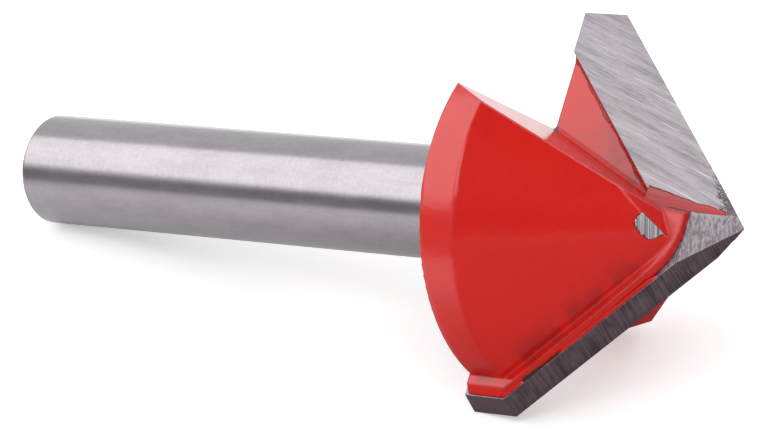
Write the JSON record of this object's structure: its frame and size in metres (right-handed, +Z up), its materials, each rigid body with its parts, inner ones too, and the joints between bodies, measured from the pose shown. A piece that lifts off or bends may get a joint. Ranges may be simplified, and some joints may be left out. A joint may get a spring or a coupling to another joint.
{
  "type": "v-groove router bit",
  "caption": "V-groove router bit with a round shank, a painted conical steel head, open chip gullets and brazed carbide cutting blades meeting at a sharp point.",
  "frame": {"origin": "middle of the footprint on the table, with the bit lying as it comes to rest", "axes": "+X is level and runs from the shank end towards the point, +Z up; the bit's own axis rises 9.4 degrees from +X towards the point"},
  "size_m": [0.0468, 0.0192, 0.0172],
  "materials": {
    "painted_steel": "glossy red enamel on the head, shank left bare and ground",
    "carbide": "ground tungsten carbide"
  },
  "bodies": {
    "root": {"cutter_body": "painted_steel", "carbide_blade_1": "carbide", "carbide_blade_2": "carbide"}
  },
  "joints": []
}
